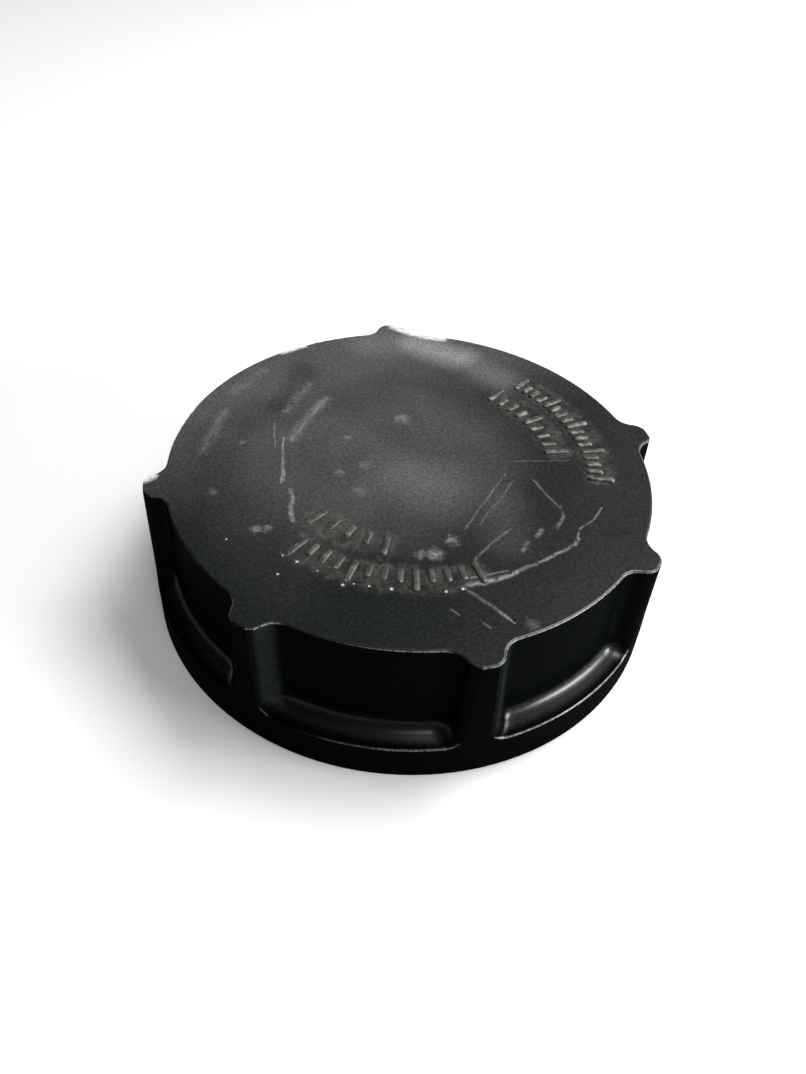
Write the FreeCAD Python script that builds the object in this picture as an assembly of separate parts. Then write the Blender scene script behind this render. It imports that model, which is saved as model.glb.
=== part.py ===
import FreeCAD, Part

import math
import os

from FreeCAD import Vector

# A screw cap for a steering fluid reservoir, in millimetres. It stands on its open rim.
# The origin is the centre of the rim's foot, +Z runs up through the lid, and +X and +Y
# are the lid's right and far side as it is looked at from the near side.

# Outer form
rim_radius = 37.5
cap_height = 21.2
rim_height = 5.7
side_draft = 1.9

# Grip lugs and the finger pockets between them. Five lugs stand about an eighth of a turn
# apart round the near side and the last stands alone on the far side. Angles are in
# degrees. The tip width is the one at which the flanks would meet the side, and the nose
# width is what is left of it between the slopes that take off the lug's two corners.
lug_angles = (-165.0, -120.2, -73.5, -28.5, 16.5, 98.0)
lug_tip_width = 3.4
lug_flank_angle = 24.0
lug_flank_draft = 3.0
lug_nose_width = 2.0
lug_nose_angle = 57.0
lug_nose_round = 1.6
pocket_depth = 2.9
pocket_draft = 2.0
ledge_slope = 30.0
pocket_corner_round = 2.8
pocket_floor_round = 2.4
grip_edge_round = 0.35
foot_edge_bevel = 0.3

# Hollow: the entry step at the foot, the threaded bore and the gasket chamber. The rim's
# wall is measured at the foot, and the skirt's behind the pockets at the lid.
rim_wall = 3.5
entry_depth = 3.2
skirt_wall = 2.7
thread_lead_in = 1.0
bore_top = 13.0
chamber_step = 1.0
lid_thickness = 2.8

# Collar under the lid, which holds the gasket outside and the splash baffle inside
collar_wall = 2.0
collar_length = 3.8
gasket_bead = 0.5
gasket_bead_height = 1.0
snap_depth = 0.35
snap_height = 1.0
snap_rise = 1.2

# Vent path past the gasket
vent_angles = (60.0, 240.0)
vent_width = 2.4
vent_depth = 0.7

# Sealing gasket
gasket_width = 5.8
gasket_thickness = 2.0
gasket_edge = 0.35
gasket_clearance = 0.2

# Splash baffle
baffle_thickness = 1.2
baffle_flange_margin = 0.3
baffle_wall = 1.3
baffle_clearance = 0.1
baffle_head_room = 0.5
slot_count = 3
slot_inset = 7.6
slot_width = 1.8
slot_sweep = 62.0

# Filter pad
pad_clearance = 0.2

# How far a cutting shape runs past the surface that it cuts, and past a lug's middle in
# degrees
margin = 1.0
lug_overlap = 4.0


def side_radius(z):
    """Radius of the outer side at a height."""
    return rim_radius - z * math.tan(math.radians(side_draft))


# Radii that follow from the sizes above, from the outside in
lug_tip_radius = side_radius(cap_height)
pocket_lid_radius = lug_tip_radius - pocket_depth
entry_radius = rim_radius - rim_wall
bore_radius = pocket_lid_radius - skirt_wall
chamber_radius = bore_radius - chamber_step
gasket_radius = chamber_radius - gasket_clearance
gasket_bore = gasket_radius - gasket_width
collar_radius = gasket_bore - gasket_clearance
collar_bore = collar_radius - collar_wall
spigot_radius = collar_bore - baffle_clearance
spigot_bore = spigot_radius - baffle_wall
slot_radius = spigot_bore - slot_inset

# Levels that follow from the sizes above, from the lid down
ceiling = cap_height - lid_thickness
collar_end = ceiling - collar_length
snap_level = collar_end + snap_rise


def pocket_radius(z):
    """Radius of a pocket's back wall at a height."""
    return pocket_lid_radius + (cap_height - z) * math.tan(math.radians(pocket_draft))


def ledge_level(r):
    """Height of a pocket's sloping ledge at a radius."""
    return rim_height + (side_radius(rim_height) - r) * math.tan(math.radians(ledge_slope))


def ledge_root():
    """Radius and height at which the ledge's slope meets the back wall."""
    slope = math.tan(math.radians(ledge_slope))
    lean = math.tan(math.radians(pocket_draft))
    r = pocket_radius(ledge_level(0.0)) / (1.0 - slope * lean)
    return r, ledge_level(r)


def revolved(points, start=0.0, sweep=360.0):
    """Solid of revolution about Z of a closed outline of (radius, height) points."""
    outline = [Vector(r, 0.0, z) for r, z in points]
    face = Part.Face(Part.makePolygon(outline + outline[:1]))
    face.rotate(Vector(), Vector(0, 0, 1), start)
    return face.revolve(Vector(), Vector(0, 0, 1), sweep)


def turned(shape, angle):
    """The shape turned about Z by an angle in degrees."""
    copy = shape.copy()
    copy.rotate(Vector(), Vector(0, 0, 1), angle)
    return copy


def behind_plane(point, normal):
    """A large block that fills the space behind a plane."""
    size = 4.0 * rim_radius
    block = Part.makeBox(size, size, size, Vector(-size / 2, -size / 2, 0.0))
    block.Placement = FreeCAD.Placement(point, FreeCAD.Rotation(Vector(0, 0, 1), normal * -1.0))
    return block


def behind_slope(width, angle, hand):
    """A large block behind one side plane of a lug. The plane meets the side at half a
    width from the lug's middle, runs inwards at an angle to it and is drafted."""
    lean = math.radians(angle)
    draft = math.radians(lug_flank_draft)
    tip = Vector(lug_tip_radius, hand * width / 2, cap_height)
    across = math.cos(draft)
    normal = Vector(math.sin(lean) * across, hand * math.cos(lean) * across, math.sin(draft))
    return behind_plane(tip, normal)


def lug_side(angle, hand):
    """Block on the lug's side of one flank. hand is 1 for the flank that faces the next
    pocket counter-clockwise, and -1 for the other. The flank runs over a round into the
    slope that takes off the lug's corner."""
    near = 0.01
    block = behind_slope(lug_tip_width, lug_flank_angle, hand)
    block = block.common(behind_slope(lug_nose_width, lug_nose_angle, hand))
    spread = math.tan(math.radians(lug_nose_angle)) - math.tan(math.radians(lug_flank_angle))
    depth = (lug_tip_width - lug_nose_width) / 2 / spread
    aside = lug_nose_width / 2 + depth * math.tan(math.radians(lug_nose_angle))
    turn = Part.Vertex(lug_tip_radius - depth, hand * aside, cap_height)
    crease = [edge for edge in block.Edges if edge.distToShape(turn)[0] < near]
    return turned(block.makeFillet(lug_nose_round, crease), angle)


def middle_of(edge):
    """Radius and height of the middle of an edge."""
    point = edge.valueAt(sum(edge.ParameterRange) / 2)
    return math.hypot(point.x, point.y), point.z


def pocket_section():
    """Outline of a pocket in the plane y = 0: the back wall, the round at its foot, the
    sloping ledge, and a way round outside the drum."""
    outside = rim_radius + margin
    above = cap_height + margin
    root_radius, root_level = ledge_root()
    root = Vector(root_radius, 0, root_level)
    ledge_end = Vector(outside, 0, ledge_level(outside))
    wall_end = Vector(pocket_radius(above), 0, above)
    along = (ledge_end - root).normalize()
    up = (wall_end - root).normalize()
    half = along.getAngle(up) / 2
    foot = root + along * (pocket_floor_round / math.tan(half))
    head = root + up * (pocket_floor_round / math.tan(half))
    inward = (along + up).normalize()
    hollow_of_round = root + inward * (pocket_floor_round / math.sin(half) - pocket_floor_round)
    corner = Vector(outside, 0, above)
    return Part.Wire([
        Part.makeLine(foot, ledge_end),
        Part.makeLine(ledge_end, corner),
        Part.makeLine(corner, wall_end),
        Part.makeLine(wall_end, head),
        Part.Arc(head, hollow_of_round, foot).toShape(),
    ])


def is_corner(edge):
    """Whether an edge of a pocket lies between one of its two sides and its back wall,
    foot or ledge, and is no seam within a side."""
    near = 0.02
    r, z = middle_of(edge)
    rises = edge.BoundBox.ZLength > near
    inside = r < rim_radius + margin - near
    is_seam = edge.BoundBox.ZLength > rim_height and r > pocket_radius(z) + near
    return rises and inside and not is_seam


def pocket(start, end):
    """The space that one finger pocket takes out of the side, between the lugs at two
    angles. The corners between its two sides and the rest are rounded."""
    face = turned(Part.Face(pocket_section()), start - lug_overlap)
    space = face.revolve(Vector(), Vector(0, 0, 1), end - start + 2 * lug_overlap)
    space = space.cut(lug_side(start, 1)).cut(lug_side(end, -1))
    corners = [edge for edge in space.Edges if is_corner(edge)]
    return space.makeFillet(pocket_corner_round, corners)


def is_outermost(edge):
    """Whether an edge of the shell runs on the drum's side or on the lid."""
    near = 0.01
    r, z = middle_of(edge)
    return abs(r - side_radius(z)) < near or z > cap_height - near


def grip_shell():
    """The outer form: a drafted drum with the pockets cut from its side. The edges of the
    lid and the pockets' mouths are rounded together, and the foot's edge is bevelled."""
    near = 0.01
    ends = lug_angles[1:] + (lug_angles[0] + 360.0,)
    shell = Part.makeCone(rim_radius, lug_tip_radius, cap_height)
    shell = shell.cut([pocket(start, end) for start, end in zip(lug_angles, ends)])
    sharp = [edge for edge in shell.Edges if edge.BoundBox.ZMin > near and is_outermost(edge)]
    shell = shell.makeFillet(grip_edge_round, sharp)
    foot = [edge for edge in shell.Edges if edge.BoundBox.ZMax < near]
    return shell.makeChamfer(foot_edge_bevel, foot)


def hollow():
    """The space inside the cap, round the collar that hangs from the ceiling."""
    bead_level = ceiling - gasket_thickness - gasket_clearance
    snap_top = snap_level + snap_height
    return revolved([
        (0.0, -margin),
        (entry_radius, -margin),
        (entry_radius, entry_depth),
        (bore_radius + thread_lead_in, entry_depth),
        (bore_radius, entry_depth + thread_lead_in),
        (bore_radius, bore_top),
        (chamber_radius, bore_top),
        (chamber_radius, ceiling),
        (collar_radius, ceiling),
        (collar_radius, bead_level),
        (collar_radius + gasket_bead, bead_level - gasket_bead_height / 2),
        (collar_radius, bead_level - gasket_bead_height),
        (collar_radius, collar_end),
        (collar_bore, collar_end),
        (collar_bore, snap_level),
        (collar_bore + snap_depth, snap_level),
        (collar_bore + snap_depth, snap_top),
        (collar_bore, snap_top),
        (collar_bore, ceiling),
        (0.0, ceiling),
    ])


def vent_channel(angle):
    """A channel through the collar, over the gasket and down the chamber's wall."""
    reach = chamber_radius + vent_depth - collar_bore + margin
    rise = ceiling + vent_depth - bore_top
    block = Part.makeBox(reach, vent_width, rise, Vector(collar_bore - margin, -vent_width / 2, bore_top))
    return turned(block, angle)


def cap_body():
    """The one-piece moulding: lid, side, lugs, rim and collar."""
    return grip_shell().cut([hollow()] + [vent_channel(angle) for angle in vent_angles])


def sealing_gasket():
    """Flat ring against the ceiling, its edges eased."""
    low = ceiling - gasket_thickness
    return revolved([
        (gasket_bore, low + gasket_edge),
        (gasket_bore + gasket_edge, low),
        (gasket_radius - gasket_edge, low),
        (gasket_radius, low + gasket_edge),
        (gasket_radius, ceiling - gasket_edge),
        (gasket_radius - gasket_edge, ceiling),
        (gasket_bore + gasket_edge, ceiling),
        (gasket_bore, ceiling - gasket_edge),
    ])


def baffle_slot(angle):
    """A curved drain slot through the baffle's plate."""
    inner = slot_radius - slot_width / 2
    outer = slot_radius + slot_width / 2
    low = collar_end - baffle_thickness - margin
    section = [(inner, low), (outer, low), (outer, collar_end + margin), (inner, collar_end + margin)]
    return revolved(section, angle - slot_sweep / 2, slot_sweep)


def splash_baffle():
    """Plate under the collar, with a spigot that snaps into the collar's bore."""
    flange = collar_radius - baffle_flange_margin
    low = collar_end - baffle_thickness
    top = ceiling - baffle_head_room
    bead = spigot_radius + snap_depth
    snap_middle = snap_level + snap_height / 2
    lip = snap_height / 2 - baffle_clearance
    plate = revolved([
        (0.0, low),
        (flange, low),
        (flange, collar_end),
        (spigot_radius, collar_end),
        (spigot_radius, snap_middle - lip),
        (bead, snap_middle),
        (spigot_radius, snap_middle + lip),
        (spigot_radius, top),
        (spigot_bore, top),
        (spigot_bore, collar_end),
        (0.0, collar_end),
    ])
    slots = [baffle_slot(360.0 / slot_count * step) for step in range(slot_count)]
    notch = Part.makeBox(collar_wall + baffle_wall, vent_width, top - collar_end,
                         Vector(spigot_bore - baffle_wall / 2, -vent_width / 2, collar_end))
    return plate.cut(slots + [turned(notch, angle) for angle in vent_angles])


def filter_pad():
    """Round pad of open foam between the ceiling and the baffle's plate."""
    radius = spigot_bore - pad_clearance
    return Part.makeCylinder(radius, ceiling - collar_end, Vector(0, 0, collar_end))


nodes = {
    "cap_body": cap_body,
    "sealing_gasket": sealing_gasket,
    "splash_baffle": splash_baffle,
    "filter_pad": filter_pad,
}

os.makedirs("parts", exist_ok=True)
for name, make in nodes.items():
    shape = make()
    solid = shape.Solids[0] if len(shape.Solids) == 1 else shape
    solid.exportStep("parts/" + name + ".step")
    print(name, len(shape.Solids), "solid,", round(solid.Volume, 1), "mm3, valid:", solid.isValid())
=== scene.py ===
import math

import bpy
import numpy as np
from mathutils import Matrix, Vector


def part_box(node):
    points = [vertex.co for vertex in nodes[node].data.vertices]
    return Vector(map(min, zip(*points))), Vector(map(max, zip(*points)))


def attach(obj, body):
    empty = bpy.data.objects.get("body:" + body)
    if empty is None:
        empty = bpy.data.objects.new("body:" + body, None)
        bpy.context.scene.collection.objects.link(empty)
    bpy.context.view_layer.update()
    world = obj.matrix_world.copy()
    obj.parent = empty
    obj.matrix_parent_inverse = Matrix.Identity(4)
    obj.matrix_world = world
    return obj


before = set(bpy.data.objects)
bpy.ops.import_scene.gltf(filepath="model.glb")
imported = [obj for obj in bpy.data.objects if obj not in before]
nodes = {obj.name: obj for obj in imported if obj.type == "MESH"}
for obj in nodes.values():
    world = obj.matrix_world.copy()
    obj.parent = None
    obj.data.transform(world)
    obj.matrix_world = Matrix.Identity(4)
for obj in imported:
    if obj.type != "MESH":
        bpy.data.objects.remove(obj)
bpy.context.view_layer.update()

# A used screw cap of black moulded plastic, standing on a white floor. Lengths are in
# metres, or in millimetres where a name ends in _mm. The lid is seen from the near side,
# so -Y is the near side, +X the right and +Z up. Angles on the lid run
# counter-clockwise from +X, in degrees.

mm = 0.001

# Sizes that follow from the frame
shell_low, shell_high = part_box("cap_body")
gasket_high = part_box("sealing_gasket")[1]
rim_radius = (shell_high[0] - shell_low[0]) / 2
cap_height = shell_high[2]
bore_radius = gasket_high[0] + 1.2 * mm

# Thread inside the bore
thread_start = 5.5 * mm
thread_end = 11.8 * mm
thread_pitch = 4.0 * mm
thread_depth = 1.35 * mm
thread_half_width = 1.0 * mm
thread_run_out = 7.0 * mm

# Raised marks on the lid: plain bars in four curved rows, as on a scale. Each row has its
# radius, the angles of its first and last bar, and how many bars it has. Every fourth bar
# is a long one, and all bars start at the same radius.
mark_rows = {
    "right outer row": (26.8 * mm, 51.0, -3.0, 17),
    "right inner row": (21.4 * mm, 54.0, 11.0, 9),
    "near outer row": (23.0 * mm, -126.0, -66.0, 13),
    "near inner row": (17.6 * mm, -132.0, -98.0, 5),
}
long_step = 4
mark_height = 0.32 * mm
mark_half_width = 0.46 * mm
long_mark = 3.8 * mm
short_mark = 2.4 * mm

# Directions on the cap: the side that faces the viewer's right, which the light catches,
# and the side where the film on the ledges is thickest
near_right_side = (0.64, -0.77, 0.0)
film_side = (0.8, -0.6, 0.0)

# Camera
view_lens = 27.49
view_elevation = math.radians(44.55)
view_roll = math.radians(-4.05)
view_distance = 3.608 * rim_radius
view_target = Vector((-0.010, 0.1562, 0.0)) * rim_radius


# Meshes


def ridge(path, across, out, half_width, height, around=20, squareness=0.6):
    """A rounded ridge along a path on a surface, as vertices and faces.

    At each point of the path its section is a superellipse in the plane of the unit
    vectors across and out: p + across * half_width * cos'(v) + out * height * sin'(v),
    where cos' and sin' are cos and sin with their size raised to squareness and v runs
    once round. The lower half lies in the surface. The ends are closed by single points.
    """
    v = np.linspace(0.0, 2 * np.pi, around, endpoint=False)
    sideways = np.sign(np.cos(v)) * np.abs(np.cos(v)) ** squareness
    upwards = np.sign(np.sin(v)) * np.abs(np.sin(v)) ** squareness
    rings = (
        path[:, None, :]
        + across[:, None, :] * (half_width[:, None] * sideways)[:, :, None]
        + out[:, None, :] * (height[:, None] * upwards)[:, :, None]
    )
    count = len(path)
    vertices = np.vstack([rings.reshape(-1, 3), path[:1], path[-1:]])
    row = np.arange(count - 1)[:, None] * around
    here = np.arange(around)[None, :]
    beside = (here + 1) % around
    quads = np.stack([row + here, row + beside, row + around + beside, row + around + here], axis=-1)
    first, last = count * around, count * around + 1
    ring = np.arange(around)
    turn = (ring + 1) % around
    end_row = (count - 1) * around
    start_cap = np.stack([turn, ring, np.full(around, first)], axis=-1)
    end_cap = np.stack([end_row + ring, end_row + turn, np.full(around, last)], axis=-1)
    faces = quads.reshape(-1, 4).tolist() + start_cap.tolist() + end_cap.tolist()
    return vertices, faces


def rounded_ends(along, length, end):
    """How full a ridge is at each distance along it: 1 in the middle, and at both ends a
    quarter circle of the given length that falls to almost nothing."""
    to_end = np.clip(np.minimum(along, length - along) / end, 0.0, 1.0)
    return np.sqrt(np.clip(1.0 - (1.0 - to_end) ** 2, 1e-4, 1.0))


def mesh_piece(name, parts):
    """One smooth mesh object of several lots of vertices and faces, riding on the cap."""
    vertices, faces, base = [], [], 0
    for part_vertices, part_faces in parts:
        vertices.append(part_vertices)
        faces += [[index + base for index in face] for face in part_faces]
        base += len(part_vertices)
    mesh = bpy.data.meshes.new(name)
    mesh.from_pydata(np.vstack(vertices).tolist(), [], faces)
    mesh.polygons.foreach_set("use_smooth", np.ones(len(faces), dtype=bool))
    mesh.update()
    piece = bpy.data.objects.new(name, mesh)
    bpy.context.scene.collection.objects.link(piece)
    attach(piece, "root")
    return piece


def neck_thread():
    """Right-handed ridge up the bore: the helix (R cos t, R sin t, z0 + pitch * t / 2 pi),
    with a section that stands inwards from the wall and fades out at both ends."""
    turns = (thread_end - thread_start) / thread_pitch
    t = np.linspace(0.0, 2 * np.pi * turns, int(150 * turns))
    level = thread_start + thread_pitch * t / (2 * np.pi)
    path = np.stack([bore_radius * np.cos(t), bore_radius * np.sin(t), level], axis=-1)
    inwards = np.stack([-np.cos(t), -np.sin(t), np.zeros_like(t)], axis=-1)
    upwards = np.zeros_like(path)
    upwards[:, 2] = 1.0
    fullness = rounded_ends(bore_radius * t, bore_radius * t[-1], thread_run_out)
    width, depth = thread_half_width * fullness, thread_depth * fullness
    return mesh_piece("neck_thread", [ridge(path, -upwards, inwards, width, depth, squareness=0.7)])


def lid_bar(radius, angle, length, height):
    """One raised bar on the lid, pointing at the lid's centre."""
    a = math.radians(angle)
    outwards = np.array([math.cos(a), math.sin(a), 0.0])
    sideways = np.array([math.sin(a), -math.cos(a), 0.0])
    along = length * (1 - np.cos(np.linspace(0.0, np.pi, 18))) / 2
    middle = radius * outwards + np.array([0.0, 0.0, cap_height])
    path = middle + (along - length / 2)[:, None] * outwards
    fullness = rounded_ends(along, length, mark_half_width)
    across = np.tile(sideways, (len(path), 1))
    up = np.tile([0.0, 0.0, 1.0], (len(path), 1))
    width, rise_of_bar = mark_half_width * fullness, height * np.maximum(fullness, 0.02)
    return ridge(path, across, up, width, rise_of_bar, around=16, squareness=0.75)


def lid_marks():
    """The four rows of bars, lower on the near side, where they are worn."""
    chance = np.random.default_rng(7)
    bars = []
    for name, (radius, first, last, count) in mark_rows.items():
        low, high = (0.35, 0.8) if "near" in name else (0.7, 1.0)
        for step, angle in enumerate(np.linspace(first, last, count)):
            length = long_mark if step % long_step == 0 else short_mark
            middle = radius - (long_mark - length) / 2
            bars.append(lid_bar(middle, angle, length, mark_height * chance.uniform(low, high)))
    return mesh_piece("lid_marks", bars)


# Shader helpers


def add_node(tree, kind, inputs=None, **settings):
    """A node of a kind. The settings are its properties. The inputs go to its sockets by
    name or number: another node's socket is linked and a plain value is set."""
    node = tree.nodes.new(kind)
    for name, value in settings.items():
        setattr(node, name, value)
    for key, value in (inputs or {}).items():
        if isinstance(value, bpy.types.NodeSocket):
            tree.links.new(value, node.inputs[key])
        else:
            node.inputs[key].default_value = value
    return node


def maths(tree, operation, a, b=0.0):
    """Result of a Math node on two values, each a number or a socket."""
    return add_node(tree, "ShaderNodeMath", {0: a, 1: b}, operation=operation).outputs[0]


def times(tree, *values):
    """Product of several values."""
    total = values[0]
    for value in values[1:]:
        total = maths(tree, "MULTIPLY", total, value)
    return total


def largest(tree, *values):
    """Largest of several values."""
    total = values[0]
    for value in values[1:]:
        total = maths(tree, "MAXIMUM", total, value)
    return total


def scaled(tree, value, factor, offset):
    """A value times a factor, plus an offset."""
    return maths(tree, "ADD", maths(tree, "MULTIPLY", value, factor), offset)


def vector_maths(tree, operation, a, b=(0.0, 0.0, 0.0), result="Vector"):
    """Result of a Vector Math node on two vectors."""
    return add_node(tree, "ShaderNodeVectorMath", {0: a, 1: b}, operation=operation).outputs[result]


def dot(tree, a, b):
    """Dot product of two vectors."""
    return vector_maths(tree, "DOT_PRODUCT", a, b, "Value")


def part_of(tree, vector, axis):
    """One part of a vector: axis 0, 1 or 2 for X, Y or Z."""
    return add_node(tree, "ShaderNodeSeparateXYZ", {0: vector}).outputs[axis]


def rise(tree, value, low, high):
    """0 below low and 1 above high, smooth between. With low above high it falls instead."""
    inputs = {"Value": value, "From Min": low, "From Max": high}
    return add_node(tree, "ShaderNodeMapRange", inputs, interpolation_type="SMOOTHSTEP").outputs[0]


def blend(tree, factor, first, second):
    """Colour that goes from the first to the second as the factor goes from 0 to 1."""
    node = add_node(tree, "ShaderNodeMix", {0: factor, 6: first, 7: second}, data_type="RGBA")
    return node.outputs[2]


def noise(tree, position, scale, detail=3.0, result="Fac"):
    """Noise at a scale in waves per unit of the position."""
    inputs = {"Vector": position, "Scale": scale, "Detail": detail}
    return add_node(tree, "ShaderNodeTexNoise", inputs).outputs[result]


def new_group(name, inputs, outputs):
    """An empty node group with float or vector inputs by name and default, and outputs."""
    group = bpy.data.node_groups.new(name, "ShaderNodeTree")
    for socket, default in inputs.items():
        kind = "NodeSocketVector" if isinstance(default, tuple) else "NodeSocketFloat"
        entry = group.interface.new_socket(socket, in_out="INPUT", socket_type=kind)
        entry.default_value = default
    for socket in outputs:
        group.interface.new_socket(socket, in_out="OUTPUT", socket_type="NodeSocketFloat")
    return group, group.nodes.new("NodeGroupInput"), group.nodes.new("NodeGroupOutput")


def use_group(tree, group, inputs):
    """The first output of a node group placed in a material."""
    return add_node(tree, "ShaderNodeGroup", inputs, node_tree=group).outputs[0]


# Shared effects


def grain_group():
    """Height of the fine spark-eroded grain of a moulded surface. Two sizes of noise are
    added. Position is in millimetres and Size is the coarser grain's width."""
    inputs = {"Position": (0.0, 0.0, 0.0), "Size": 0.4}
    group, given, result = new_group("moulded grain", inputs, ["Height"])
    waves = maths(group, "DIVIDE", 1.0, given.outputs["Size"])
    coarse = noise(group, given.outputs["Position"], waves, 2.0)
    fine = noise(group, given.outputs["Position"], maths(group, "MULTIPLY", waves, 2.7), 1.0)
    total = maths(group, "ADD", times(group, coarse, 0.65), times(group, fine, 0.35))
    group.links.new(total, result.inputs["Height"])
    return group


def line_mask_group():
    """Mask along the straight line between two points, for scuffs, spots, dust, painted glare
    and painted highlights: 1 on the line, and 0 at half of Width from it. The nearest point of
    the line is Start + t * (End - Start), with t the projection of the position held between 0
    and 1."""
    group, given, result = new_group(
        "line mask",
        {"Position": (0.0, 0.0, 0.0), "Start": (0.0, 0.0, 0.0), "End": (1.0, 0.0, 0.0), "Width": 1.0},
        ["Mask"],
    )
    from_start = vector_maths(group, "SUBTRACT", given.outputs["Position"], given.outputs["Start"])
    line = vector_maths(group, "SUBTRACT", given.outputs["End"], given.outputs["Start"])
    squared = maths(group, "ADD", dot(group, line, line), 1e-6)
    share = maths(group, "DIVIDE", dot(group, from_start, line), squared)
    held = add_node(group, "ShaderNodeClamp", {0: share}).outputs[0]
    scaling = {0: line, "Scale": held}
    nearest = add_node(group, "ShaderNodeVectorMath", scaling, operation="SCALE").outputs[0]
    distance = vector_maths(group, "DISTANCE", from_start, nearest, "Value")
    mask = rise(group, distance, maths(group, "MULTIPLY", given.outputs["Width"], 0.5), 0.0)
    group.links.new(mask, result.inputs["Mask"])
    return group


def bar_row_group():
    """How near a place on the lid is to a curved row of bars: 1 at a bar and 0 at Reach
    from it. The bars stand at even angles, so the distance sideways is the radius times
    the angle to the nearest one, which is the angle from the first bar, folded by the
    pitch. The distance lengthways is what the radius is short of or past the bar."""
    group, given, result = new_group(
        "bar row",
        {"Position": (0.0, 0.0, 0.0), "Radius": 20.0, "Half Length": 2.0, "First Angle": 0.0,
         "Pitch": 0.1, "Last Step": 5.0, "Reach": 1.0},
        ["Mask"],
    )
    radius = vector_maths(group, "LENGTH", given.outputs["Position"], result="Value")
    place = add_node(group, "ShaderNodeSeparateXYZ", {0: given.outputs["Position"]}).outputs
    bearing = maths(group, "ARCTAN2", place[1], place[0])
    angle = maths(group, "SUBTRACT", bearing, given.outputs["First Angle"])
    steps = maths(group, "DIVIDE", angle, given.outputs["Pitch"])
    nearest = maths(group, "ROUND", steps)
    held = maths(group, "MAXIMUM", maths(group, "MINIMUM", nearest, given.outputs["Last Step"]), 0.0)
    sideways = maths(group, "MULTIPLY", maths(group, "SUBTRACT", steps, held), given.outputs["Pitch"])
    sideways = maths(group, "MULTIPLY", sideways, radius)
    from_row = maths(group, "ABSOLUTE", maths(group, "SUBTRACT", radius, given.outputs["Radius"]))
    past_end = maths(group, "SUBTRACT", from_row, given.outputs["Half Length"])
    lengthways = maths(group, "MAXIMUM", past_end, 0.0)
    offset = add_node(group, "ShaderNodeCombineXYZ", {0: sideways, 1: lengthways}).outputs[0]
    distance = vector_maths(group, "LENGTH", offset, result="Value")
    group.links.new(rise(group, distance, given.outputs["Reach"], 0.0), result.inputs["Mask"])
    return group


moulded_grain = grain_group()
line_mask = line_mask_group()
bar_row = bar_row_group()


# Wear and dust on the lid, with painted glare, highlights and glints

# Scuffs: width in millimetres, strength, and the points of each line on the lid in
# millimetres from its centre.
scuffs_mm = {
    "long rub on the left": (0.6, 1.0, [(-18.6, 2.9), (-17.3, -6.8)]),
    "second line of the rub": (0.4, 0.8, [(-18.1, -0.6), (-17.0, -6.5)]),
    "faint rub beside it": (0.4, 0.45, [(-20.4, 6.4), (-19.5, 0.8)]),
    "left smear": (2.2, 0.3, [(-19.2, 9.4), (-17.6, 14.0), (-16.7, 16.9)]),
    "curved smear": (2.4, 0.42, [(-17.3, 2.7), (-16.5, 6.4), (-15.2, 9.8), (-13.7, 13.1)]),
    "core of the curved smear": (0.8, 0.6, [(-16.4, 6.0), (-15.2, 9.4), (-13.9, 12.4)]),
    "outer smear": (1.2, 0.35, [(-28.8, 4.2), (-28.6, 6.7), (-28.0, 8.8)]),
    "soft tail of the outer smear": (2.6, 0.22, [(-29.2, -1.4), (-28.8, 2.8), (-28.2, 8.0)]),
    "soft head of the outer smear": (3.4, 0.22, [(-28.0, 13.5), (-25.8, 16.5), (-24.4, 19.6)]),
    "flaked end of the rub": (1.0, 1.0, [(-16.0, -7.9), (-15.2, -10.1), (-15.4, -11.7), (-14.7, -14.0)]),
    "knife line": (0.45, 0.4, [(13.2, -1.8), (7.6, -13.3)]),
    "second knife line": (0.5, 0.3, [(14.4, -3.2), (9.6, -12.2)]),
    "right scratch": (0.6, 0.4, [(17.0, -2.3), (18.8, -5.3), (20.4, -8.0)]),
    "end of the right scratch": (0.8, 0.5, [(20.6, -7.8), (20.8, -9.6), (19.8, -11.8)]),
    "short rub": (1.0, 0.5, [(17.6, -12.6), (17.0, -13.8)]),
    "short rub below it": (0.9, 0.55, [(15.8, -15.0), (15.0, -16.7)]),
    "hooked scratch": (0.6, 0.5, [(13.4, -13.0), (11.2, -15.5), (9.1, -18.4), (8.8, -19.8), (9.3, -21.0)]),
    "wavy scratch at the edge": (0.45, 0.6, [(26.2, -7.4), (24.6, -10.2), (22.6, -11.8), (22.3, -13.4)]),
    "wavy scratch": (0.8, 0.75, [(22.4, -13.6), (21.8, -14.8), (18.6, -17.4), (15.4, -19.4)]),
    "wavy scratch by the row": (1.1, 0.95, [(15.4, -19.4), (13.4, -20.9), (9.9, -22.6), (8.0, -23.1)]),
    "line above it": (0.5, 0.5, [(12.8, -20.3), (9.6, -21.6), (7.2, -22.0)]),
    "edge scratch": (0.8, 0.55, [(7.3, -23.5), (10.6, -26.1), (12.6, -28.0)]),
    "fine end of the edge scratch": (0.3, 0.9, [(11.4, -26.9), (13.4, -28.6)]),
    "nick by the edge": (0.5, 0.35, [(5.9, -27.3), (6.9, -28.0)]),
    "second nick": (0.5, 0.35, [(9.5, -28.8), (10.5, -29.7)]),
    "double line in the right rows": (0.4, 0.35, [(14.2, 1.2), (22.6, 2.4)]),
}

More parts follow.
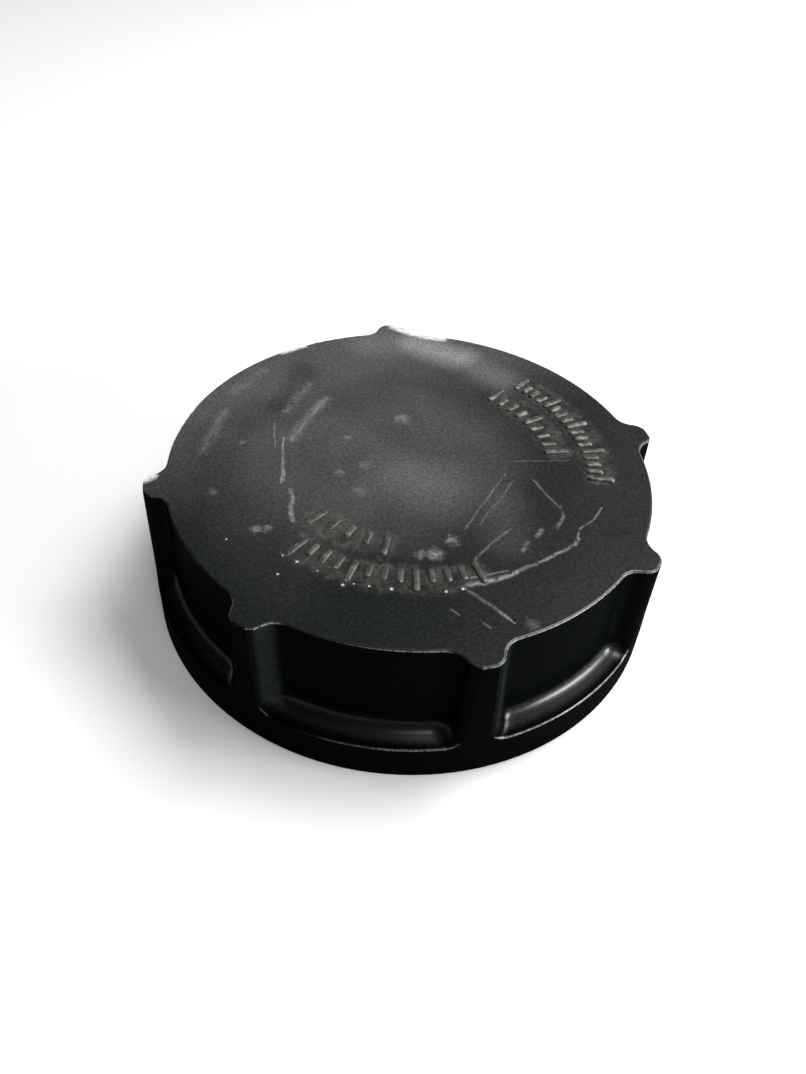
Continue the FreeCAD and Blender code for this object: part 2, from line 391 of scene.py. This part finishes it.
# Spots of dirt and bare rub: diameter in millimetres, strength, and centre
spots_mm = {
    "pale fleck": (2.2, 0.5, (-1.8, 9.6)),
    "fleck left of centre": (1.2, 0.35, (-9.4, 3.9)),
    "small fleck": (1.4, 0.3, (-9.8, -3.9)),
    "faint patch": (2.2, 0.22, (-6.4, -1.8)),
    "patch below it": (2.0, 0.2, (-6.8, -7.4)),
    "left fleck": (1.2, 0.35, (-26.1, -9.7)),
    "upper left fleck": (1.0, 0.3, (-24.3, 1.2)),
    "dirt by the near rows": (1.3, 0.5, (-19.2, -16.2)),
    "dirt at the row's end": (1.2, 0.5, (-17.7, -15.8)),
    "white crumb": (1.5, 0.75, (6.0, -15.6)),
    "white crumb by the row": (1.9, 0.75, (3.8, -18.3)),
    "small white crumb": (1.3, 0.5, (2.0, -18.7)),
    "fleck at the right": (1.6, 0.25, (15.5, -28.6)),
}

# Bright specks, painted glints, most at the outer ends of the near marks: diameter in millimetres, strength
# and centre
glint_specks_mm = {
    "white speck at the left": (0.4, 1.0, (-22.5, -18.3)),
    "white speck at the near side": (0.5, 1.0, (-15.2, -23.6)),
    "speck at the row's start": (0.4, 1.0, (-15.1, -20.4)),
    "speck by the first long mark": (0.6, 1.0, (-13.2, -21.3)),
    "speck between the marks": (0.35, 1.0, (-10.5, -22.6)),
    "speck below the row": (0.6, 1.0, (-7.2, -24.6)),
    "pair below the row": (0.35, 1.0, (-5.9, -24.3)),
    "small speck below the row": (0.45, 1.0, (-4.0, -24.5)),
    "middle speck below the row": (0.65, 1.0, (-1.3, -24.7)),
    "right speck below the row": (0.6, 1.0, (5.3, -24.5)),
    "speck by the edge scratch": (0.55, 1.0, (7.3, -23.9)),
}

# Broad pale bands, painted glare on the far side (far bank, far right bank, far left veil) and dust
# elsewhere: width, strength and the points of each
glare_and_dust_banks_mm = {
    "far bank": (10.5, 1.0, [(-1.0, 30.8), (7.0, 27.5)]),
    "far right bank": (10.0, 0.38, [(6.0, 28.0), (13.5, 22.0)]),
    "far left veil": (13.0, 0.35, [(-8.0, 30.0), (2.0, 31.0)]),
    "left ring veil": (15.0, 0.035, [(-27.0, -10.0), (-23.0, -19.0), (-14.0, -26.0)]),
    "middle bank": (16.0, 0.18, [(-1.0, -3.0), (4.5, -6.0)]),
    "dust inside the near scratches": (11.0, 0.12, [(13.0, -8.0), (13.0, -15.0)]),
}

# Dark smudges in the hazy dust: width, strength and points
smudges_mm = {
    "smudge at the far left": (5.5, 0.38, [(-20.4, 10.6), (-19.8, 14.2), (-18.6, 21.5)]),
    "smudge beside the smears": (4.5, 0.3, [(-18.0, 15.5), (-17.5, 20.5)]),
    "smudge round the near rows": (3.6, 0.4, [(-12.0, -18.2), (-6.0, -19.4), (0.0, -20.2), (6.0, -20.0)]),
}

# Painted highlights on the far edge of the lid, white where the lug tops catch the light: width, strength
# and ends
edge_glare_mm = {
    "left lug": (2.1, 1.0, [(-35.7, -8.3), (-34.8, -7.4)]),
    "far left edge": (1.6, 0.9, [(-22.2, 25.2), (-18.9, 27.8)]),
    "far lug": (3.0, 1.0, [(-4.4, 35.8), (-1.2, 34.2), (1.5, 33.4), (3.8, 33.2)]),
}


def masks_of(tree, position, lines):
    """Strongest of the masks of several lines, each times its strength."""
    strongest = None
    for width, strength, points in lines.values():
        for start, end in zip(points[:-1], points[1:]):
            inputs = {"Position": position, "Start": (*start, 0.0), "End": (*end, 0.0), "Width": width}
            mask = maths(tree, "MULTIPLY", use_group(tree, line_mask, inputs), strength)
            strongest = mask if strongest is None else maths(tree, "MAXIMUM", strongest, mask)
    return strongest


def as_dots(spots, spread=1.0):
    """Round spots as lines without length, for masks_of, their widths times the spread."""
    return {
        name: (spread * width, strength, [centre, centre])
        for name, (width, strength, centre) in spots.items()
    }


def near_marks(tree, position, reach):
    """How near a place is to the rows of marks: 1 at a mark and 0 at the reach from it."""
    total = None
    for radius, first, last, count in mark_rows.values():
        start, end = math.radians(first), math.radians(last)
        mask = use_group(tree, bar_row, {
            "Position": position, "Radius": radius / mm, "Half Length": short_mark / mm / 2,
            "First Angle": start, "Pitch": (end - start) / (count - 1), "Last Step": float(count - 1),
            "Reach": reach,
        })
        total = mask if total is None else maths(tree, "MAXIMUM", total, mask)
    return total


# Colours of the cap

clean_tone = (0.0105, 0.0135, 0.0125, 1)
# pale grey of the hazy dust, and of its painted reflection on the far side
dust_and_sheen_tone = (0.093, 0.093, 0.09, 1)
# pale grey of the painted glare and of the bands of dust
glare_and_dust_tone = (0.25, 0.25, 0.255, 1)
scuff_tone = (0.37, 0.37, 0.36, 1)
dirt_tone = (0.15, 0.143, 0.126, 1)
mark_shade_tone = (0.02, 0.021, 0.019, 1)
# white of the painted highlights on the lid's edge and of the painted glints
painted_highlight_tone = (0.78, 0.78, 0.74, 1)
wall_tone = (0.0011, 0.0014, 0.0016, 1)
# paler tones of painted light on the walls and flanks that face the near right
lit_wall_tone = (0.0021, 0.003, 0.0033, 1)
lit_flank_tone = (0.015, 0.018, 0.0185, 1)
# pale of the painted highlight on the edges
edge_highlight_tone = (0.26, 0.27, 0.27, 1)

rim_radius_mm = rim_radius / mm
lid_level_mm = cap_height / mm


# Materials


def new_material(name):
    """A material with its Principled shader, and its position in millimetres."""
    material = bpy.data.materials.new(name)
    material.use_nodes = True
    tree = material.node_tree
    place = add_node(tree, "ShaderNodeTexCoord").outputs["Object"]
    scaling = {0: place, "Scale": 1 / mm}
    position = add_node(tree, "ShaderNodeVectorMath", scaling, operation="SCALE").outputs[0]
    return material, tree, tree.nodes["Principled BSDF"], position


def bumped(tree, shader, height, depth_mm):
    """Gives the shader the relief of a height, at a depth in millimetres."""
    bump = add_node(tree, "ShaderNodeBump", {"Height": height, "Distance": depth_mm * mm})
    tree.links.new(bump.outputs[0], shader.inputs["Normal"])


def places_on_cap(tree, position):
    """Where a place on the cap is and which way it faces, as sockets by name. The way round
    is how far it faces counter-clockwise round the cap."""
    flat = vector_maths(tree, "MULTIPLY", position, (1.0, 1.0, 0.0))
    outwards = vector_maths(tree, "NORMALIZE", flat)
    normal = add_node(tree, "ShaderNodeNewGeometry").outputs["Normal"]
    return {
        "position": position,
        "flat": flat,
        "x": dot(tree, flat, (1.0, 0.0, 0.0)),
        "level": part_of(tree, position, 2),
        "radius": vector_maths(tree, "LENGTH", flat, result="Value"),
        "on film side": dot(tree, outwards, film_side),
        "facing up": part_of(tree, normal, 2),
        "facing near right": dot(tree, normal, near_right_side),
        "facing round": part_of(tree, vector_maths(tree, "CROSS_PRODUCT", outwards, normal), 2),
    }


def shifted(tree, flat, waves, reach):
    """A flat position moved to and fro by noise, so that what is drawn with it has a ragged
    outline. The noise has so many waves a millimetre."""
    shift = vector_maths(tree, "SUBTRACT", noise(tree, flat, waves, 3.0, "Color"), (0.5, 0.5, 0.5))
    return vector_maths(tree, "ADD", flat, vector_maths(tree, "MULTIPLY", shift, (reach, reach, 0.0)))


def lid_dust_and_sheen(tree, flat, rough_place, ragged_place):
    """Grey hazy dust on the lid, cloudy: most in the middle and on the far side, a little on the
    right, and wiped thin in the smudges. Its rise on the far side is a painted reflection."""
    clouds = rise(tree, noise(tree, flat, 0.11, 5.0), 0.2, 0.75)
    from_middle = vector_maths(tree, "DISTANCE", rough_place, (-7.0, 4.0, 0.0), "Value")
    middle = rise(tree, from_middle, 31.0, 11.0)
    # painted reflection: paler towards the far left, where the light behind the cap would shine
    far = rise(tree, dot(tree, rough_place, (-0.5, 0.87, 0.0)), -6.0, 30.0)
    right = rise(tree, dot(tree, rough_place, (1.0, 0.15, 0.0)), -15.0, 30.0)
    dust_and_sheen = largest(tree, times(tree, middle, 0.8), far, times(tree, right, 0.14))
    wiped = masks_of(tree, ragged_place, smudges_mm)
    return times(tree, dust_and_sheen, scaled(tree, clouds, 0.45, 0.72), maths(tree, "SUBTRACT", 1.0, wiped))


def lid_colour(tree, flat):
    """Colour of the lid, and how far its wear dulls it: hazy dust with a painted reflection on
    the far side, dirt round the marks, painted shade round their feet, pale bands of dust and
    painted glare, scuffs and spots, painted highlights on the edge, and painted glints, one
    over the other."""
    rough_place = shifted(tree, flat, 0.35, 0.7)
    ragged_place = shifted(tree, flat, 1.4, 2.0)
    broken = rise(tree, noise(tree, flat, 1.1, 3.0), 0.28, 0.52)
    fading = rise(tree, noise(tree, flat, 0.3, 2.0), 0.3, 0.62)
    patches = rise(tree, noise(tree, flat, 0.4, 4.0), 0.3, 0.65)

    dust_and_sheen = lid_dust_and_sheen(tree, flat, rough_place, ragged_place)
    dirt = times(tree, near_marks(tree, ragged_place, 1.9), patches)
    shade = near_marks(tree, flat, 1.0)
    glare_and_dust = masks_of(tree, rough_place, glare_and_dust_banks_mm)
    scuffs = times(tree, masks_of(tree, rough_place, scuffs_mm), broken, scaled(tree, fading, 0.55, 0.45))
    spots = times(tree, masks_of(tree, ragged_place, as_dots(spots_mm, 1.6)), scaled(tree, broken, 0.7, 0.3))
    edge_glare = times(tree, masks_of(tree, flat, edge_glare_mm), maths(tree, "ADD", broken, 0.4))
    glints = masks_of(tree, flat, as_dots(glint_specks_mm))

    # hazy dust, with its painted reflection on the far side
    colour = blend(tree, dust_and_sheen, clean_tone, dust_and_sheen_tone)
    colour = blend(tree, times(tree, dirt, 0.55), colour, dirt_tone)
    colour = blend(tree, times(tree, shade, 0.6), colour, mark_shade_tone)
    # painted glare on the far side of the lid, and pale bands of dust
    colour = blend(tree, glare_and_dust, colour, glare_and_dust_tone)
    colour = blend(tree, times(tree, largest(tree, scuffs, spots), 0.8), colour, scuff_tone)
    # painted highlights where the lug tops on the lid's edge catch the light
    colour = blend(tree, maths(tree, "MINIMUM", edge_glare, 1.0), colour, painted_highlight_tone)
    # painted glints, most at the outer ends of the near marks
    colour = blend(tree, maths(tree, "MINIMUM", glints, 1.0), colour, painted_highlight_tone)
    return colour, times(tree, largest(tree, dust_and_sheen, scuffs, dirt), 0.2)


def side_colour(tree, at):
    """Colour of the cap's side: near black, with a little painted light on the pocket walls and
    more on the lug flanks that face the near right side, where the light falls."""
    facing = at["facing near right"]
    in_pocket = rise(tree, at["radius"], rim_radius_mm - 0.6, rim_radius_mm - 1.6)
    # painted light: pocket walls that face the near right are made paler
    lit_wall = times(tree, rise(tree, facing, 0.8, 0.97), in_pocket)
    # painted light: lug flanks that face the near right are made paler still
    lit_flank = times(tree, rise(tree, facing, 0.6, 0.85), rise(tree, at["facing round"], 0.35, 0.8))
    return blend(tree, lit_flank, blend(tree, lit_wall, wall_tone, lit_wall_tone), lit_flank_tone)


def painted_edge_highlights(tree, at):
    """Mask of the pale, broken painted highlight along the lid's edge and the rim's upper edge,
    where they face the near right side and catch the light."""
    top_edge = rise(tree, at["level"], lid_level_mm - 0.5, lid_level_mm - 0.25)
    rim_edge = rise(tree, at["radius"], rim_radius_mm - 0.45, rim_radius_mm - 0.25)
    up = at["facing up"]
    rounded = maths(tree, "SUBTRACT", rise(tree, up, 0.3, 0.55), rise(tree, up, 0.78, 0.93))
    facing = rise(tree, at["facing near right"], 0.4, 0.72)
    broken = rise(tree, noise(tree, at["position"], 2.6, 3.0), 0.25, 0.62)
    return times(tree, rounded, largest(tree, top_edge, rim_edge), facing, broken)


def ledge_film(tree, at, grain):
    """How thick the shining film is on the ledges and edges. It thins towards the rim, on
    the left, at the ends of the pockets on the right, and on flat tops."""
    radius, side, up = at["radius"], at["on film side"], at["facing up"]
    inner_ledge = times(
        tree,
        rise(tree, radius, rim_radius_mm - 0.4, rim_radius_mm - 1.9),
        rise(tree, radius, rim_radius_mm + 0.2, rim_radius_mm - 2.2),
    )
    rim_line = times(
        tree,
        rise(tree, radius, rim_radius_mm - 0.5, rim_radius_mm - 0.35), 0.7,
        rise(tree, side, 0.35, 0.8),
    )
    above_ledge = rise(tree, at["level"], 9.0, 11.0)
    flat_top = rise(tree, up, 0.975, 0.998)
    film = maths(tree, "SUBTRACT", rise(tree, up, 0.3, 0.82), times(tree, flat_top, 0.85))
    at_end = times(tree, rise(tree, at["facing round"], 0.1, 0.45), rise(tree, at["x"], 0.0, 10.0))
    return times(
        tree, film,
        largest(tree, inner_ledge, rim_line, above_ledge),
        scaled(tree, rise(tree, side, -0.4, 0.35), 0.8, 0.2),
        maths(tree, "SUBTRACT", 1.0, at_end),
        scaled(tree, grain, 3.0, -0.05),
    )


def cap_plastic():
    """Black satin plastic. The lid is dulled by grey hazy dust, scuffs and dirt round the marks,
    and a cleaner, darker ring is left near its edge; painted reflection, glare, highlights and
    glints lie on it. The side is near black, with painted light where it faces the near right,
    and the ledges and edges shine under a thin film."""
    material, tree, shader, position = new_material("black moulded plastic")
    at = places_on_cap(tree, position)
    grain = use_group(tree, moulded_grain, {"Position": position, "Size": 0.45})
    at_lid_level = rise(tree, at["level"], lid_level_mm - 0.5, lid_level_mm - 0.2)
    lid = times(tree, rise(tree, at["facing up"], 0.5, 0.8), at_lid_level)

    lid_tone, dulled = lid_colour(tree, at["flat"])
    colour = blend(tree, lid, side_colour(tree, at), lid_tone)
    # painted highlight on the edges that face the light at the near right
    colour = blend(tree, painted_edge_highlights(tree, at), colour, edge_highlight_tone)
    speckle = scaled(tree, grain, 2.2, -0.1)
    speckle = add_node(tree, "ShaderNodeCombineXYZ", {0: speckle, 1: speckle, 2: speckle}).outputs[0]
    tree.links.new(vector_maths(tree, "MULTIPLY", colour, speckle), shader.inputs["Base Color"])

    roughness = maths(tree, "ADD", times(tree, dulled, lid), scaled(tree, grain, 0.08, 0.24))
    tree.links.new(roughness, shader.inputs["Roughness"])
    shader.inputs["Specular IOR Level"].default_value = 0.0

    gloss = maths(tree, "ADD", ledge_film(tree, at, grain), 0.02)
    tree.links.new(maths(tree, "MINIMUM", gloss, 1.0), shader.inputs["Coat Weight"])
    shader.inputs["Coat Roughness"].default_value = 0.28
    bumped(tree, shader, grain, 0.035)
    return material


def mark_plastic():
    """The raised marks: the same plastic, its tops rubbed pale in patches, and a painted glint speckled on
    the ends that face outwards.
    """
    material, tree, shader, position = new_material("rubbed raised marks")
    rubbed = rise(tree, noise(tree, position, 0.9, 4.0), 0.42, 0.68)
    top = rise(tree, part_of(tree, position, 2), lid_level_mm + 0.02, lid_level_mm + 0.2)
    outwards = vector_maths(tree, "NORMALIZE", vector_maths(tree, "MULTIPLY", position, (1.0, 1.0, 0.0)))
    normal = add_node(tree, "ShaderNodeNewGeometry").outputs["Normal"]
    # painted glint: pale specks on the ends of the marks that face outwards
    outer_end = rise(tree, dot(tree, normal, outwards), 0.3, 0.8)
    speck = times(tree, outer_end, rise(tree, noise(tree, position, 0.8, 2.0), 0.48, 0.58))
    far = rise(tree, part_of(tree, position, 1), -12.0, 0.0)
    pale = blend(tree, far, (0.12, 0.118, 0.105, 1), (0.24, 0.235, 0.21, 1))
    colour = blend(tree, times(tree, rubbed, top), (0.045, 0.045, 0.04, 1), pale)
    colour = blend(tree, speck, colour, (0.6, 0.6, 0.56, 1))
    tree.links.new(colour, shader.inputs["Base Color"])
    shader.inputs["Roughness"].default_value = 0.32
    shader.inputs["Specular IOR Level"].default_value = 0.4
    grain = use_group(tree, moulded_grain, {"Position": position, "Size": 0.35})
    bumped(tree, shader, grain, 0.03)
    return material


def plain_plastic(name, tone, roughness):
    """Moulded plastic of one colour with the same grain."""
    material, tree, shader, position = new_material(name)
    grain = use_group(tree, moulded_grain, {"Position": position, "Size": 0.5})
    darker, paler = [0.8 * part for part in tone] + [1], [1.2 * part for part in tone] + [1]
    colour = blend(tree, grain, darker, paler)
    tree.links.new(colour, shader.inputs["Base Color"])
    shader.inputs["Roughness"].default_value = roughness
    shader.inputs["Specular IOR Level"].default_value = 0.3
    bumped(tree, shader, grain, 0.02)
    return material


def gasket_rubber():
    """Matt black rubber with a dusty bloom in patches."""
    material, tree, shader, position = new_material("gasket rubber")
    bloom = rise(tree, noise(tree, position, 0.25, 4.0), 0.35, 0.75)
    colour = blend(tree, bloom, (0.014, 0.014, 0.014, 1), (0.03, 0.03, 0.029, 1))
    tree.links.new(colour, shader.inputs["Base Color"])
    tree.links.new(scaled(tree, bloom, 0.2, 0.6), shader.inputs["Roughness"])
    grain = use_group(tree, moulded_grain, {"Position": position, "Size": 0.3})
    bumped(tree, shader, grain, 0.02)
    return material


def filter_foam():
    """Open-celled grey foam: cells from a Voronoi pattern, dark in their middles."""
    material, tree, shader, position = new_material("filter foam")
    cells = add_node(tree, "ShaderNodeTexVoronoi", {"Vector": position, "Scale": 1.8}).outputs["Distance"]
    walls = rise(tree, cells, 0.15, 0.6)
    colour = blend(tree, walls, (0.025, 0.024, 0.022, 1), (0.16, 0.155, 0.14, 1))
    tree.links.new(colour, shader.inputs["Base Color"])
    shader.inputs["Roughness"].default_value = 0.9
    bumped(tree, shader, walls, 0.25)
    return material


def dress(node, material):
    """Gives a CAD node or a new piece one material."""
    node.data.materials.clear()
    node.data.materials.append(material)


# Floor, light and camera


def white_floor():
    """A wide floor that the camera sees white outside the cap's shadow."""
    half = 3.0
    mesh = bpy.data.meshes.new("floor")
    corners = [(-half, -half, 0), (half, -half, 0), (half, half, 0), (-half, half, 0)]
    mesh.from_pydata(corners, [], [(0, 1, 2, 3)])
    floor = bpy.data.objects.new("floor", mesh)
    bpy.context.scene.collection.objects.link(floor)
    material = bpy.data.materials.new("white floor")
    material.use_nodes = True
    tree = material.node_tree
    tree.nodes.remove(tree.nodes["Principled BSDF"])
    path = add_node(tree, "ShaderNodeLightPath").outputs
    seen = largest(tree, path["Is Camera Ray"], path["Is Glossy Ray"], path["Is Transmission Ray"])
    plain = add_node(tree, "ShaderNodeBsdfDiffuse", {"Color": (0.5, 0.5, 0.5, 1)}).outputs[0]
    pale = add_node(tree, "ShaderNodeBsdfDiffuse", {"Color": (1.0, 1.0, 1.0, 1)}).outputs[0]
    glow = {"Color": (1.0, 1.0, 1.0, 1), "Strength": 0.14}
    lift = add_node(tree, "ShaderNodeEmission", glow).outputs[0]
    white = add_node(tree, "ShaderNodeAddShader", {0: pale, 1: lift}).outputs[0]
    mixed = add_node(tree, "ShaderNodeMixShader", {0: seen, 1: plain, 2: white}).outputs[0]
    tree.links.new(mixed, tree.nodes["Material Output"].inputs["Surface"])
    mesh.materials.append(material)


def area_light(name, place, width, height, power):
    """An oblong soft light at a place, facing the middle of the cap."""
    lamp = bpy.data.lights.new(name, "AREA")
    lamp.shape = "RECTANGLE"
    lamp.size = width
    lamp.size_y = height
    lamp.energy = power
    holder = bpy.data.objects.new(name, lamp)
    aim = Vector((0.0, 0.0, cap_height / 2)) - Vector(place)
    turn = aim.to_track_quat("-Z", "Y").to_matrix().to_4x4()
    holder.matrix_world = Matrix.Translation(place) @ turn
    bpy.context.scene.collection.objects.link(holder)


def studio_light():
    """A key light high at the far right, a small one in front, a low window at the right,
    and a grey surround that is brighter towards the far right."""
    area_light("key", (0.30, 0.20, 0.56), 0.34, 0.34, 3.6)
    area_light("front", (0.16, -0.36, 0.44), 0.14, 0.10, 0.3)
    area_light("window", (0.49, -0.16, 0.15), 0.26, 0.12, 2.2)
    world = bpy.data.worlds.new("surround")
    world.use_nodes = True
    tree = world.node_tree
    direction = add_node(tree, "ShaderNodeTexCoord").outputs["Generated"]
    lit = rise(tree, dot(tree, direction, (0.8, 0.6, 0.0)), -1.0, 1.0)
    tone = blend(tree, lit, (0.04, 0.04, 0.04, 1), (0.4, 0.4, 0.4, 1))
    tree.links.new(tone, tree.nodes["Background"].inputs["Color"])
    bpy.context.scene.world = world


def photo_camera():
    """The camera: it looks at the target from the near side at the elevation, rolled a
    little, with its lens for a 36 mm sensor on the picture's long side."""
    level_up = Vector((0.0, math.sin(view_elevation), math.cos(view_elevation)))
    sideways = Vector((1.0, 0.0, 0.0))
    back = Vector((0.0, -math.cos(view_elevation), math.sin(view_elevation)))
    right = math.cos(view_roll) * sideways - math.sin(view_roll) * level_up
    up = math.sin(view_roll) * sideways + math.cos(view_roll) * level_up
    data = bpy.data.cameras.new("camera")
    data.lens = view_lens
    data.sensor_width = 36.0
    data.clip_start = 0.005
    camera = bpy.data.objects.new("camera", data)
    turn = Matrix((right, up, back)).transposed().to_4x4()
    camera.matrix_world = Matrix.Translation(view_target + back * view_distance) @ turn
    bpy.context.scene.collection.objects.link(camera)
    bpy.context.scene.camera = camera


dress(nodes["cap_body"], cap_plastic())
dress(nodes["sealing_gasket"], gasket_rubber())
dress(nodes["splash_baffle"], plain_plastic("grey baffle plastic", (0.19, 0.195, 0.2), 0.4))
dress(nodes["filter_pad"], filter_foam())
dress(neck_thread(), plain_plastic("black thread plastic", (0.008, 0.009, 0.009), 0.32))
dress(lid_marks(), mark_plastic())

white_floor()
studio_light()
photo_camera()
bpy.context.scene.view_settings.view_transform = "Standard"
